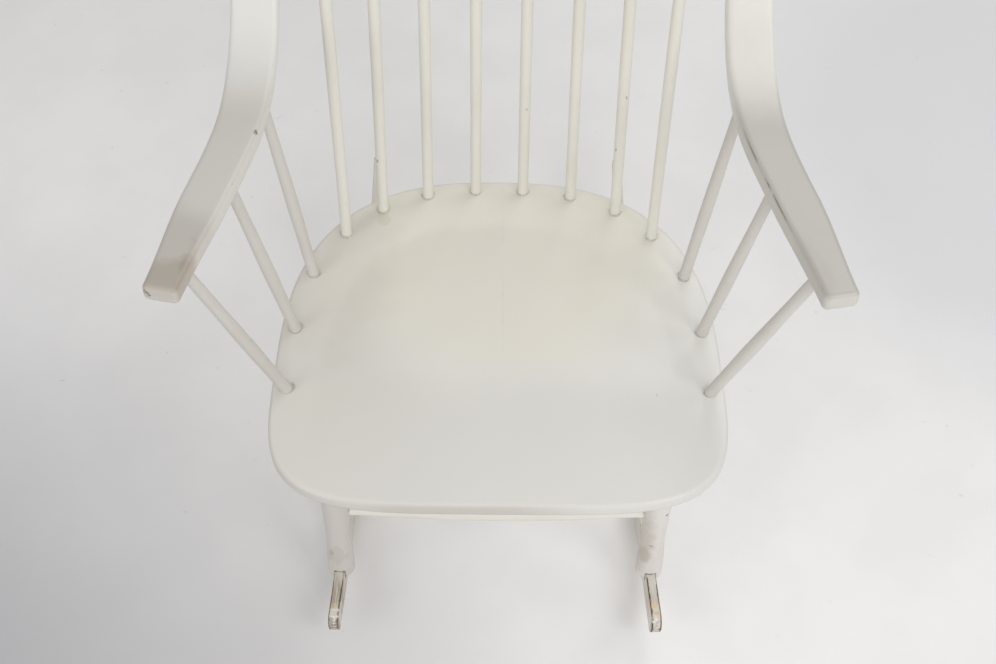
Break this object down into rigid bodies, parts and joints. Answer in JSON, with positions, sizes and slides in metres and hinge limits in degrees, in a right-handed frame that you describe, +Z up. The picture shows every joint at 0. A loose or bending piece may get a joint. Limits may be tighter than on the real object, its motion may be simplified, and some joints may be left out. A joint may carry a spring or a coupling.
{
  "type": "rocking chair",
  "caption": "Painted wooden rocking chair with a bent bow forming arms and hoop back, slender spindles, a shallow dished seat, turned legs, stretchers and curved rockers",
  "frame": {"origin": "On the floor, on the chair's middle plane, midway between the seat's front edge and the rocker tails", "axes": "+Z up, -Y the way a sitter faces, +X to the right as seen from the front, so nodes called left are at -X"},
  "size_m": [0.6428, 0.7443, 1.0011],
  "materials": {
    "seat": "pale grey brushed paint, worn and dusty, soft sheen",
    "bow": "pale grey brushed paint, worn at the hands, soft sheen",
    "spindles": "pale grey brushed paint with dirt at the feet",
    "legs": "pale grey brushed paint, scuffed and chipped at the foot",
    "stretchers": "pale grey brushed paint, scuffed",
    "rockers": "pale grey paint worn through to dark wood on the edges",
    "pins": "painted over, end grain"
  },
  "bodies": {
    "root": {"seat": "seat", "arm_bow": "bow", "back_spindle_1": "spindles", "back_spindle_2": "spindles", "back_spindle_3": "spindles", "back_spindle_4": "spindles", "back_spindle_5": "spindles", "back_spindle_6": "spindles", "back_spindle_7": "spindles", "back_spindle_8": "spindles", "arm_spindle_front_left": "spindles", "arm_spindle_front_right": "spindles", "arm_spindle_middle_left": "spindles", "arm_spindle_middle_right": "spindles", "arm_spindle_rear_left": "spindles", "arm_spindle_rear_right": "spindles", "leg_front_left": "legs", "leg_front_right": "legs", "leg_rear_left": "legs", "leg_rear_right": "legs", "rocker_left": "rockers", "rocker_right": "rockers", "front_stretcher": "stretchers", "rear_stretcher": "stretchers", "rocker_pins": "pins"}
  },
  "joints": []
}
